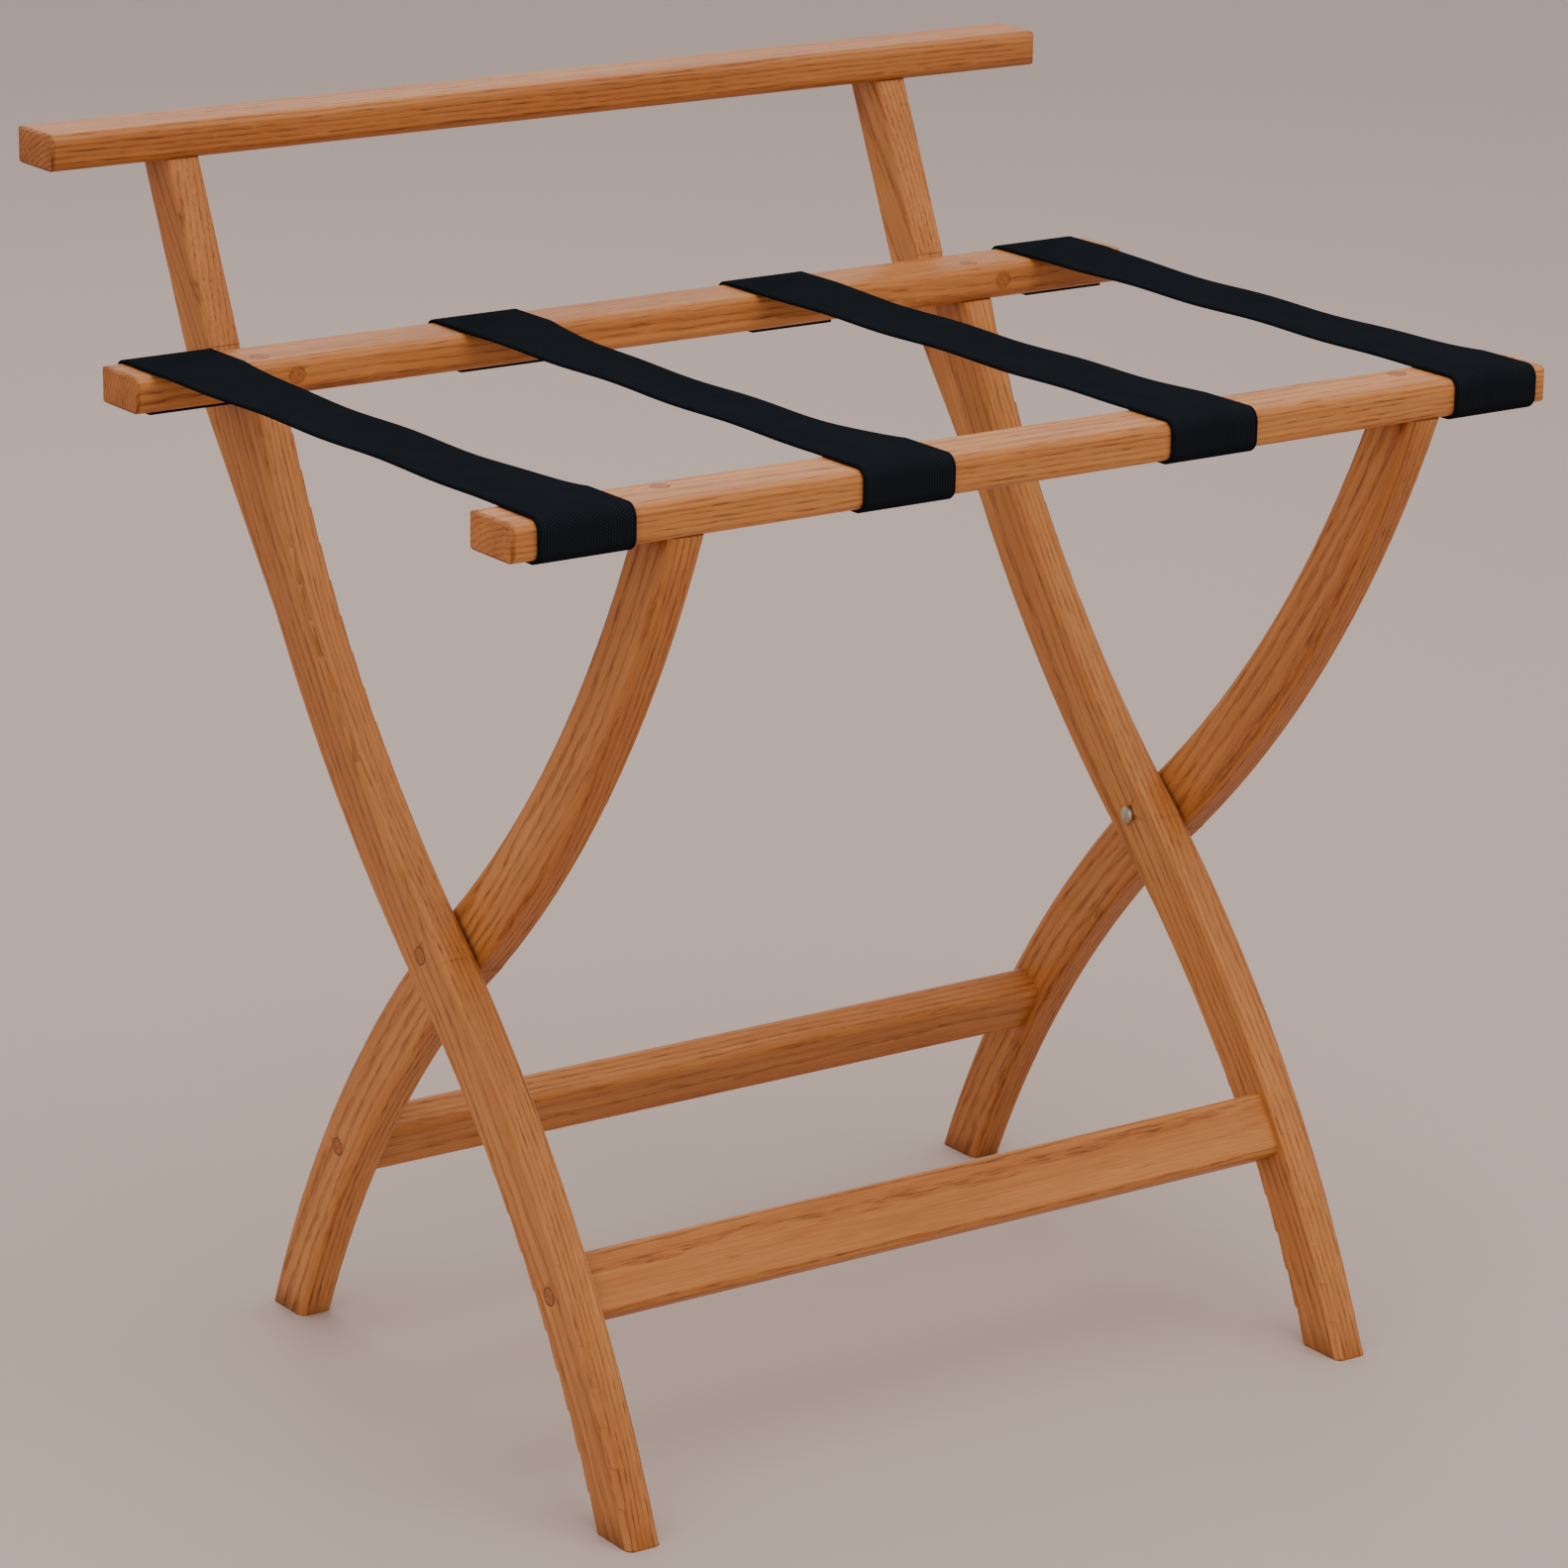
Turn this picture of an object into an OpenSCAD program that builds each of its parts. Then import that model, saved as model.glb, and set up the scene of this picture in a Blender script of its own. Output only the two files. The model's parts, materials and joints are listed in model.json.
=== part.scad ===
// Folding luggage rack: two crossed pairs of curved wooden legs, two seat rails
// joined by four webbing straps, and a raised guard rail along the back.
// Millimetres. +Z is up, the rails run along X, the open side faces -Y.
// Origin: the floor point under the middle of the whole rack; the modules measure Y
// from the pivot line. The rack stands fully open, with the straps taut.

/* [Overall] */
// Length of the three rails
rail_len = 610; // [500:5:700]
// Height of the top of the seat rails
seat_h = 515; // [450:1:560]
// Height of the top of the guard rail
guard_h = 622; // [560:1:680]
// Distance from the front face to the back face of the seat rails
seat_depth = 384; // [330:1:420]
// Back face of the guard rail, measured from the pivot line
guard_back = 275; // [250:1:290]

/* [Rails] */
// Height of each rail section
rail_h = 19; // [16:0.5:25]
// Depth of each rail section
rail_d = 38; // [30:0.5:45]
// Rounding of the rails' long edges
rail_r = 5; // [2:0.5:8]
// Rounding of the rail ends seen from above
rail_end_r = 4; // [1:0.5:8]
// Rounding of the rail ends seen from the side
rail_tip_r = 2.5; // [1:0.5:6]

/* [Legs] */
// Leg thickness along X
leg_t = 19; // [16:0.5:25]
// Leg width at the pivot
leg_w = 35; // [28:0.5:42]
// Rounding of the legs' long edges
leg_r = 4; // [2:0.5:7]
// Centre-line radius of the leg curve
leg_R = 690; // [500:5:900]
// Lean from upright at the pivot, degrees
lean_mid = 47.6; // [40:0.1:55]
// Lean from upright at the leg ends, degrees
lean_end = 23; // [15:0.5:30]
// Distance between the centres of the left and right leg pairs
pair_span = 439; // [380:1:480]
// Gap between the two legs of one pair
leg_gap = 1.5; // [1:0.1:3]
// Height of the pivot line
pivot_h = 248; // [220:1:280]
// Width of the post that carries the guard rail
post_w = 27.5; // [24:0.5:36]
// Back face of the posts just under the guard rail, measured from the pivot line
post_back = 267; // [250:1:280]
// Lean of the post from upright, degrees
post_lean = 23.7; // [15:0.1:30]
// Lean of the straight back edge below the post, degrees
brace_lean = 36.9; // [30:0.1:40]
// Height at which the back edge turns into the post
shoulder_z = 505; // [490:1:520]

/* [Stretchers] */
// Height of the stretcher centres
stretcher_z = 108; // [80:1:140]
// Width of each stretcher, along the leg
stretcher_w = 33.5; // [28:0.5:40]
// Thickness of each stretcher
stretcher_t = 19; // [14:0.5:22]
// Rounding of the stretchers' long edges
stretcher_r = 4.5; // [2:0.5:8]

/* [Straps] */
// Webbing width
strap_w = 51; // [38:1:60]
// Webbing thickness
strap_t = 1.6; // [1:0.1:3]
// Distance between neighbouring strap centres
strap_pitch = 180; // [150:1:190]

/* [Fixings] */
// Diameter of the wooden plugs
plug_d = 9.5; // [8:0.5:12]
// Length of the wooden plugs
plug_l = 5; // [3:0.5:8]
// Diameter of the pivot bolts
bolt_d = 6; // [5:0.5:8]
// Diameter of the screw shanks
screw_d = 4; // [3:0.5:5]
// Distance from the pivot line to the seat rail screws
seat_screw_y = 165.5; // [160:0.5:176]
// Sideways offset of the plugs on the front of the back rail
face_plug_dx = 15; // [0:0.5:20]
// Angle at which the screws behind those plugs run to the posts
face_screw_tilt = 15; // [0:1:20]
// Length of the screws through the rails into the legs, from the rail's face
rail_screw_l = 46; // [38:1:55]
// Length of the screws through the legs into the stretchers, from the leg's face
stretcher_screw_l = 46; // [38:1:55]
// Diameter of the dowels that hold the guard rail
dowel_d = 8; // [6:1:10]
// Length of those dowels
dowel_l = 25; // [20:1:35]
// Diameter of the washers between the legs
washer_d = 16; // [12:1:20]
// Thickness of those washers
washer_t = 0.9; // [0.5:0.1:1.4]
// Diameter of the caps on the pivot bolts
cap_d = 9; // [8:0.5:14]
// Width of a staple
staple_w = 11; // [9:1:14]
// Distance of each staple from the middle of its strap
staple_dx = 13; // [8:1:18]

/* [Hidden] */
$fn = 48;
eps = 0.05;
clear = 0.3;
R = leg_R;
seat_u = seat_h - rail_h;
guard_u = guard_h - rail_h;
half_d = seat_depth / 2;
front_y = -half_d;
back_y = half_d;
leg_dx = (leg_t + leg_gap) / 2;
back_lx = -pair_span / 2 - leg_dx;
back_rx = pair_span / 2 - leg_dx;
front_lx = -pair_span / 2 + leg_dx;
front_rx = pair_span / 2 + leg_dx;
taper_k = 3 / sin(lean_mid - lean_end);
lap = 1.2;
leg_sweep = 32;
leg_facets = 12;
leg_grow = 16;
corner_y = post_back - (guard_u - shoulder_z) * tan(post_lean);
brace_l = 160;
brace_w = post_w - 3;
bend_w = post_w - 2;
bend_lap = 8;
post_lap = 12;
post_l = 130;
corner_l = 22;
guard_y = guard_back - rail_d / 2;
face_plug_z = seat_u + rail_h / 2 + 0.5;
head_d = 8;
head_l = 3;
cap_h = 3.1;
cap_ball_d = 13;
wrap_in = rail_d / 2 - rail_r - 1;
wrap_bend = 2;
skin = clear + strap_t;
over = 2;
shank_room = 2;
face_screw_l = 49;
dowel_y = post_back - post_w / 2 / cos(post_lean) - 2;
dowel_low = 14.5;
staple_t = 0.6;
staple_wire = 1.2;
staple_gap = 0.05;
staple_in = 18;
big = 1000;
frame_y = (guard_back - half_d - skin) / 2;
stretcher_lean = asin(sin(lean_mid) - (pivot_h - stretcher_z) / R);
stretcher_y = R * (cos(stretcher_lean) - cos(lean_mid));
strap_xs = [-1.5 * strap_pitch, -0.5 * strap_pitch, 0.5 * strap_pitch, 1.5 * strap_pitch];

// Rectangle with rounded corners, centred.
module round_rect(a, b, r, facets = $fn) {
    square([a - 2 * r, b], center = true);
    square([a, b - 2 * r], center = true);
    for (i = [-1, 1], j = [-1, 1])
        translate([i * (a / 2 - r), j * (b / 2 - r)])
            circle(r = r, $fn = facets);
}

// Turns a drawing in XY into one in YZ, thickness along X.
module side_view() {
    rotate([90, 0, 90])
        children();
}

// Rail along X with eased long edges and slightly softened ends.
module rail(l, d, h, r) {
    intersection() {
        side_view()
            translate([0, 0, -l / 2])
                linear_extrude(l)
                    round_rect(d, h, r);
        translate([0, 0, -h])
            linear_extrude(2 * h)
                round_rect(l, d + over, rail_end_r);
        rotate([90, 0, 0])
            translate([0, 0, -d])
                linear_extrude(2 * d)
                    round_rect(l, h + over / 2, rail_tip_r);
    }
}

// Part of a ring in YZ with a rounded section, thickness leg_t along X.
module ring(rad, w, a0, a1, facets) {
    side_view()
        rotate_extrude(start = a0, angle = a1 - a0, $fn = 240)
            translate([rad, 0])
                round_rect(w, leg_t, leg_r, facets);
}

// Lower half of a leg leaning towards -Y, measured from the pivot.
// Two rings whose centres are k either side of one point taper it downwards.
module half_leg(k, facets) {
    cy = R * cos(lean_mid);
    cz = -R * sin(lean_mid);
    ky = k * sin(lean_mid);
    kz = k * cos(lean_mid);
    a0 = 180 - lean_mid - lap;
    a1 = 180 - lean_mid + leg_sweep;
    intersection() {
        translate([0, cy + ky, cz + kz])
            ring(R - leg_grow / 2, leg_w + leg_grow, a0, a1, facets);
        translate([0, cy - ky, cz - kz])
            ring(R + leg_grow / 2, leg_w + leg_grow, a0, a1, facets);
    }
}

// Straight bar in YZ whose back edge starts at [y, z] and climbs at a lean.
module bar(y, z, lean, l, w) {
    translate([0, y, z])
        rotate([-lean, 0, 0])
            translate([0, -w / 2, 0])
                linear_extrude(l)
                    round_rect(leg_t, w, leg_r);
}

// Everything between two heights.
module between(z0, z1) {
    translate([-big / 2, -big / 2, z0])
        cube([big, big, z1 - z0]);
}

// Both halves of the S-shaped leg, cut flat on the floor and at the top.
module curved_leg(k_low, k_top, top, facets = $fn) {
    intersection() {
        translate([0, 0, pivot_h])
            union() {
                half_leg(k_low, facets);
                rotate([180, 0, 0])
                    half_leg(k_top, facets);
            }
        between(0, top);
    }
}

// Bore along X through everything at [y, z].
module cross_bore(y, z, d) {
    translate([-leg_t, y, z])
        rotate([0, 90, 0])
            cylinder(h = 2 * leg_t, d = d);
}

// Flat-bottomed hole for a plug, a screw head and a shank, opening at z = 0.
module plug_screw_hole(depth) {
    translate([0, 0, -plug_l - head_l])
        cylinder(h = plug_l + head_l + over, d = plug_d + 2 * eps);
    translate([0, 0, -depth])
        cylinder(h = depth, d = screw_d + 2 * eps);
}

// Plain end of the shank hole, for the piece the screw bites into.
module shank_hole(depth) {
    translate([0, 0, -depth])
        cylinder(h = depth + over, d = screw_d + 2 * eps);
}

// Wooden plug filling the mouth of such a hole.
module plug() {
    translate([0, 0, -plug_l + eps])
        cylinder(h = plug_l - eps, d = plug_d);
}

// Screw under the plug.
module screw(depth) {
    translate([0, 0, -plug_l - head_l + eps])
        cylinder(h = head_l - 2 * eps, d = head_d);
    translate([0, 0, -depth])
        cylinder(h = depth - plug_l - head_l + 2 * eps, d = screw_d);
}

// Copies at the two legs of the back frame or the front frame.
module at_back_legs() {
    for (x = [back_lx, back_rx])
        translate([x, 0, 0])
            children();
}

module at_front_legs() {
    for (x = [front_lx, front_rx])
        translate([x, 0, 0])
            children();
}

// Outward-facing frames on the outer faces of a leg pair, at the stretcher.
module at_stretcher_ends(lx, rx, y) {
    translate([lx - leg_t / 2, y, stretcher_z])
        rotate([0, -90, 0])
            children();
    translate([rx + leg_t / 2, y, stretcher_z])
        rotate([0, 90, 0])
            children();
}

// The straight upper back part of a post leg, turning into the post.
module post_part() {
    mid_lean = (brace_lean + post_lean) / 2;
    half = corner_l / 2;
    low_l = brace_l + 3;
    bend_l = corner_l + bend_lap + 3;
    ay = corner_y - half * sin(mid_lean);
    az = shoulder_z - half * cos(mid_lean);
    by = corner_y + half * sin(mid_lean);
    bz = shoulder_z + half * cos(mid_lean);
    bar(ay - brace_l * sin(brace_lean), az - brace_l * cos(brace_lean), brace_lean, low_l, brace_w);
    bar(ay - bend_lap * sin(mid_lean), az - bend_lap * cos(mid_lean), mid_lean, bend_l, bend_w);
    bar(by - post_lap * sin(post_lean), bz - post_lap * cos(post_lean), post_lean, post_l, post_w);
}

// Leg that runs from the front foot up past the back rail to the guard rail.
module post_leg() {
    difference() {
        intersection() {
            union() {
                curved_leg(taper_k, 0, seat_u);
                post_part();
            }
            between(0, guard_u);
        }
        translate([-leg_t, back_y - 2 * rail_d, seat_u])
            cube([2 * leg_t, 2 * rail_d + eps, 4 * rail_h]);
        cross_bore(0, pivot_h, bolt_d + 2 * eps);
        translate([0, seat_screw_y, seat_u])
            shank_hole(rail_screw_l - rail_h + shank_room);
        translate([0, dowel_y, guard_u - dowel_low - over / 4])
            cylinder(h = dowel_l, d = dowel_d + 2 * eps);
        face_screw_line()
            cylinder(h = face_screw_l + over, d = screw_d + 2 * eps);
    }
}

// Short leg that runs from the back foot up to the front seat rail.
module short_leg() {
    difference() {
        mirror([0, 1, 0])
            curved_leg(taper_k, taper_k / 2, seat_u, leg_facets);
        cross_bore(0, pivot_h, bolt_d + 2 * eps);
        translate([0, -seat_screw_y, seat_u])
            shank_hole(rail_screw_l - rail_h + shank_room);
    }
}

// Line of the slanted screw, from the bottom of its plug hole to the post.
module face_screw_line() {
    translate([face_plug_dx, back_y - rail_d + plug_l, face_plug_z])
        rotate([0, 0, face_screw_tilt])
            rotate([-90, 0, 0])
                children();
}

// Frame on the front face of the back rail, pointing out of the rail.
module at_face_plug() {
    translate([face_plug_dx, back_y - rail_d, face_plug_z])
        rotate([90, 0, 0])
            children();
}

// Pockets for the pivot bolt head and plug, side is -1 left or +1 right.
module pivot_pocket(side) {
    translate([side * leg_t / 2, 0, pivot_h])
        rotate([0, side * 90, 0])
            translate([0, 0, -plug_l - head_l])
                cylinder(h = plug_l + head_l + over, d = plug_d + 2 * eps);
}

// Webbing folded round a seat rail whose centre is at y, open towards +Y.
module wrap(y) {
    translate([0, y, seat_u + rail_h / 2])
        side_view()
            translate([0, 0, -strap_w / 2])
                linear_extrude(strap_w)
                    difference() {
                        round_rect(rail_d + 2 * skin, rail_h + 2 * skin, rail_r + wrap_bend);
                        round_rect(rail_d + 2 * clear, rail_h + 2 * clear, rail_r + clear);
                        translate([wrap_in, -rail_d])
                            square(2 * rail_d);
                    }
}

// Flat staple crowns under one end of a strap.
module staple_pair(y) {
    for (dx = [-staple_dx, staple_dx])
        translate([dx - staple_w / 2, y - staple_wire / 2, seat_u - skin - staple_gap - staple_t])
            cube([staple_w, staple_wire, staple_t]);
}

module guard_rail() {
    color([0.78, 0.5, 0.27])
        difference() {
            translate([0, guard_y, guard_u + rail_h / 2])
                rail(rail_len, rail_d, rail_h, rail_r);
            at_back_legs()
                translate([0, dowel_y, guard_u - over])
                    cylinder(h = dowel_l - dowel_low + over + eps, d = dowel_d + 2 * eps);
        }
}

module back_seat_rail() {
    color([0.78, 0.5, 0.27])
        difference() {
            translate([0, back_y - rail_d / 2, seat_u + rail_h / 2])
                rail(rail_len, rail_d, rail_h, rail_r);
            at_back_legs() {
                translate([0, seat_screw_y, seat_h])
                    plug_screw_hole(rail_h + over);
                at_face_plug()
                    translate([0, 0, -plug_l])
                        cylinder(h = plug_l + over, d = plug_d + 2 * eps);
                face_screw_line()
                    translate([0, 0, -over / 4])
                        cylinder(h = rail_d + over, d = screw_d + 2 * eps);
            }
        }
}

module front_seat_rail() {
    color([0.78, 0.5, 0.27])
        difference() {
            translate([0, front_y + rail_d / 2, seat_u + rail_h / 2])
                rail(rail_len, rail_d, rail_h, rail_r);
            at_front_legs()
                translate([0, -seat_screw_y, seat_h])
                    plug_screw_hole(rail_h + over);
        }
}

module post_leg_left() {
    color([0.76, 0.47, 0.24])
        translate([back_lx, 0, 0])
            difference() {
                post_leg();
                pivot_pocket(-1);
                translate([-leg_t / 2, -stretcher_y, stretcher_z])
                    rotate([0, -90, 0])
                        plug_screw_hole(leg_t + over);
            }
}

module post_leg_right() {
    color([0.76, 0.47, 0.24])
        translate([back_rx, 0, 0])
            difference() {
                post_leg();
                translate([leg_t / 2, -stretcher_y, stretcher_z])
                    rotate([0, 90, 0])
                        plug_screw_hole(leg_t + over);
            }
}

module short_leg_left() {
    color([0.76, 0.47, 0.24])
        translate([front_lx, 0, 0])
            difference() {
                short_leg();
                translate([-leg_t / 2, stretcher_y, stretcher_z])
                    rotate([0, -90, 0])
                        plug_screw_hole(leg_t + over);
            }
}

module short_leg_right() {
    color([0.76, 0.47, 0.24])
        translate([front_rx, 0, 0])
            difference() {
                short_leg();
                pivot_pocket(1);
                translate([leg_t / 2, stretcher_y, stretcher_z])
                    rotate([0, 90, 0])
                        plug_screw_hole(leg_t + over);
            }
}

// Bar between two legs, its wide side lying along the legs.
module stretcher(x0, x1, y, lean) {
    bite = stretcher_screw_l - leg_t + 2 * over;
    difference() {
        translate([x0, y, stretcher_z])
            side_view()
                rotate(90 - lean)
                    linear_extrude(x1 - x0)
                        round_rect(stretcher_w, stretcher_t, stretcher_r);
        for (x = [x0 - over, x1 + over - bite])
            translate([x, y, stretcher_z])
                rotate([0, 90, 0])
                    cylinder(h = bite, d = screw_d + 2 * eps);
    }
}

module front_stretcher() {
    color([0.74, 0.45, 0.22])
        stretcher(back_lx + leg_t / 2, back_rx - leg_t / 2, -stretcher_y, stretcher_lean);
}

module rear_stretcher() {
    color([0.74, 0.45, 0.22])
        stretcher(front_lx + leg_t / 2, front_rx - leg_t / 2, stretcher_y, -stretcher_lean);
}

// Pivot bolt along +X from its head, through two legs.
module pivot_bolt() {
    rotate([0, 90, 0]) {
        cylinder(h = head_l - 2 * eps, d = head_d);
        cylinder(h = 2 * leg_t + leg_gap - plug_l + clear, d = bolt_d);
    }
}

// Low domed cap over the inner end of a pivot bolt, pointing along +X.
module pivot_cap() {
    rotate([0, 90, 0])
        intersection() {
            cylinder(h = cap_ball_d, d = cap_d);
            translate([0, 0, cap_h - cap_ball_d / 2])
                sphere(d = cap_ball_d, $fn = 64);
        }
}

module pivot_bolt_left() {
    color([0.6, 0.6, 0.62])
        translate([back_lx - leg_t / 2 + plug_l + eps, 0, pivot_h])
            pivot_bolt();
}

module pivot_bolt_right() {
    color([0.6, 0.6, 0.62])
        translate([front_rx + leg_t / 2 - plug_l - eps, 0, pivot_h])
            mirror([1, 0, 0])
                pivot_bolt();
}

module pivot_cap_left() {
    color([0.7, 0.68, 0.62])
        translate([front_lx + leg_t / 2 + clear + 2 * eps, 0, pivot_h])
            pivot_cap();
}

module pivot_cap_right() {
    color([0.7, 0.68, 0.62])
        translate([back_rx - leg_t / 2 - clear - 2 * eps, 0, pivot_h])
            mirror([1, 0, 0])
                pivot_cap();
}

module pivot_washers() {
    color([0.5, 0.5, 0.52])
        for (x = [-pair_span / 2, pair_span / 2])
            translate([x - washer_t / 2, 0, pivot_h])
                rotate([0, 90, 0])
                    difference() {
                        cylinder(h = washer_t, d = washer_d);
                        translate([0, 0, -over])
                            cylinder(h = washer_t + 2 * over, d = bolt_d + 4 * eps);
                    }
}

module pivot_plug_left() {
    color([0.66, 0.4, 0.2])
        translate([back_lx - leg_t / 2, 0, pivot_h])
            rotate([0, -90, 0])
                plug();
}

module pivot_plug_right() {
    color([0.66, 0.4, 0.2])
        translate([front_rx + leg_t / 2, 0, pivot_h])
            rotate([0, 90, 0])
                plug();
}

module front_rail_plugs() {
    color([0.66, 0.4, 0.2])
        at_front_legs()
            translate([0, -seat_screw_y, seat_h])
                plug();
}

module back_rail_plugs() {
    color([0.66, 0.4, 0.2])
        at_back_legs()
            translate([0, seat_screw_y, seat_h])
                plug();
}

module back_face_plugs() {
    color([0.66, 0.4, 0.2])
        at_back_legs()
            at_face_plug()
                plug();
}

module front_stretcher_plugs() {
    color([0.66, 0.4, 0.2])
        at_stretcher_ends(back_lx, back_rx, -stretcher_y)
            plug();
}

module rear_stretcher_plugs() {
    color([0.66, 0.4, 0.2])
        at_stretcher_ends(front_lx, front_rx, stretcher_y)
            plug();
}

module front_rail_screws() {
    color([0.6, 0.58, 0.5])
        at_front_legs()
            translate([0, -seat_screw_y, seat_h])
                screw(rail_screw_l);
}

module back_rail_screws() {
    color([0.6, 0.58, 0.5])
        at_back_legs()
            translate([0, seat_screw_y, seat_h])
                screw(rail_screw_l);
}

module back_face_screws() {
    color([0.6, 0.58, 0.5])
        at_back_legs()
            face_screw_line()
                translate([0, 0, over / 2])
                    cylinder(h = face_screw_l, d = screw_d);
}

module front_stretcher_screws() {
    color([0.6, 0.58, 0.5])
        at_stretcher_ends(back_lx, back_rx, -stretcher_y)
            screw(stretcher_screw_l);
}

module rear_stretcher_screws() {
    color([0.6, 0.58, 0.5])
        at_stretcher_ends(front_lx, front_rx, stretcher_y)
            screw(stretcher_screw_l);
}

module guard_rail_dowels() {
    color([0.72, 0.5, 0.3])
        at_back_legs()
            translate([0, dowel_y, guard_u - dowel_low])
                cylinder(h = dowel_l - over / 4, d = dowel_d);
}

// Flat span of one strap between the two wraps.
module strap_span(i) {
    reach = half_d - rail_d / 2 - wrap_in - clear;
    color([0.06, 0.07, 0.08])
        translate([strap_xs[i] - strap_w / 2, -reach, seat_h + clear])
            cube([strap_w, 2 * reach, strap_t]);
}

// End of one strap round the front rail.
module strap_front(i) {
    color([0.06, 0.07, 0.08])
        translate([strap_xs[i], 0, 0])
            wrap(front_y + rail_d / 2);
}

// End of one strap round the back rail.
module strap_back(i) {
    color([0.06, 0.07, 0.08])
        translate([strap_xs[i], 0, 0])
            mirror([0, 1, 0])
                wrap(front_y + rail_d / 2);
}

module front_staples() {
    color([0.6, 0.6, 0.6])
        for (x = strap_xs)
            translate([x, 0, 0])
                staple_pair(front_y + staple_in);
}

module back_staples() {
    color([0.6, 0.6, 0.6])
        for (x = strap_xs)
            translate([x, 0, 0])
                staple_pair(back_y - staple_in);
}

// Moves a piece from the pivot line's frame to the rack's own origin.
module on_floor() {
    translate([0, -frame_y, 0])
        children();
}

on_floor() guard_rail();
on_floor() back_seat_rail();
on_floor() front_seat_rail();
on_floor() post_leg_left();
on_floor() post_leg_right();
on_floor() short_leg_left();
on_floor() short_leg_right();
on_floor() front_stretcher();
on_floor() rear_stretcher();
on_floor() pivot_bolt_left();
on_floor() pivot_bolt_right();
on_floor() pivot_cap_left();
on_floor() pivot_cap_right();
on_floor() pivot_washers();
on_floor() pivot_plug_left();
on_floor() pivot_plug_right();
on_floor() front_rail_plugs();
on_floor() back_rail_plugs();
on_floor() back_face_plugs();
on_floor() front_stretcher_plugs();
on_floor() rear_stretcher_plugs();
on_floor() front_rail_screws();
on_floor() back_rail_screws();
on_floor() back_face_screws();
on_floor() front_stretcher_screws();
on_floor() rear_stretcher_screws();
on_floor() guard_rail_dowels();
on_floor() strap_span(0);  // strap_span_1
on_floor() strap_span(1);  // strap_span_2
on_floor() strap_span(2);  // strap_span_3
on_floor() strap_span(3);  // strap_span_4
on_floor() strap_front(0);  // strap_front_1
on_floor() strap_front(1);  // strap_front_2
on_floor() strap_front(2);  // strap_front_3
on_floor() strap_front(3);  // strap_front_4
on_floor() strap_back(0);  // strap_back_1
on_floor() strap_back(1);  // strap_back_2
on_floor() strap_back(2);  // strap_back_3
on_floor() strap_back(3);  // strap_back_4
on_floor() front_staples();
on_floor() back_staples();
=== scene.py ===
"""Folding oak luggage rack with webbing straps: finishes, straps, staples and studio."""
import json
import math

import bpy
from bpy.props import FloatProperty, FloatVectorProperty, IntProperty, PointerProperty
from mathutils import Matrix, Vector


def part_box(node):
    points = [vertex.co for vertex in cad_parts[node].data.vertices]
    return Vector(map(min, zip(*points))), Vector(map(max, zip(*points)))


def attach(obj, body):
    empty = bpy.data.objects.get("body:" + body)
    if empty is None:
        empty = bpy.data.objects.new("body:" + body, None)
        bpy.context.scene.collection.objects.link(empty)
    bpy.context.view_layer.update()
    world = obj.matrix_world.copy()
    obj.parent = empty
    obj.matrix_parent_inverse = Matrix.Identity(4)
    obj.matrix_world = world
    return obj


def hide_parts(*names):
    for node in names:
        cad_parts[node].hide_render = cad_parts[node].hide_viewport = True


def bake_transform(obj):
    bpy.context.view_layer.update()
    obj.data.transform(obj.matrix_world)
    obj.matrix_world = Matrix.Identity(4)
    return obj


bl_info = {
    "name": "Folding Luggage Rack",
    "version": (1, 0, 0),
    "blender": (4, 5, 0),
    "location": "3D View > Sidebar > Luggage Rack",
    "description": "Finishes the oak, webbing and metal of a folding luggage rack",
    "category": "Object",
}

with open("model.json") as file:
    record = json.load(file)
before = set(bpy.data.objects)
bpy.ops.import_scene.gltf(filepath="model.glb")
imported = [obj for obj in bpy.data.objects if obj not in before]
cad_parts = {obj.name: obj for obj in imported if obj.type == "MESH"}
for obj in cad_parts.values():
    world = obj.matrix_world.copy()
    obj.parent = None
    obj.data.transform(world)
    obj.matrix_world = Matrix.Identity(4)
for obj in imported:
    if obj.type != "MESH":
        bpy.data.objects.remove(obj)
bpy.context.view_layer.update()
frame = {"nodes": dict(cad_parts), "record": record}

BACK = "back_frame"
FRONT = "front_frame"
# Each set of plugs and the axis its plugs are driven along.
PLUGS = (
    ("pivot_plug_left", "x"),
    ("pivot_plug_right", "x"),
    ("front_rail_plugs", "z"),
    ("back_rail_plugs", "z"),
    ("back_face_plugs", "y"),
    ("front_stretcher_plugs", "x"),
    ("rear_stretcher_plugs", "x"),
)
SCREWS = (
    "front_rail_screws",
    "back_rail_screws",
    "back_face_screws",
    "front_stretcher_screws",
    "rear_stretcher_screws",
)
BOLTS = ("pivot_bolt_left", "pivot_bolt_right", "pivot_washers")
CAPS = ("pivot_cap_left", "pivot_cap_right")

FRONT_RAIL_LOW = Vector(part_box("front_seat_rail")[0])
BACK_RAIL_LOW, BACK_RAIL_HIGH = (Vector(corner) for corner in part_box("back_seat_rail"))
PIVOT_LOW, PIVOT_HIGH = (Vector(corner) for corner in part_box("pivot_plug_left"))
PIVOT = (PIVOT_LOW + PIVOT_HIGH) / 2
SEAT_MIDDLE_Y = (FRONT_RAIL_LOW.y + BACK_RAIL_HIGH.y) / 2
SEAT_REACH = (BACK_RAIL_HIGH.y - FRONT_RAIL_LOW.y) / 2
RAIL_DEPTH = BACK_RAIL_HIGH.y - BACK_RAIL_LOW.y
# Half of the open space between the two seat rails, which the straps bridge.
HALF_SPAN = SEAT_REACH - RAIL_DEPTH

STRAP_COUNT = 4
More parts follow.
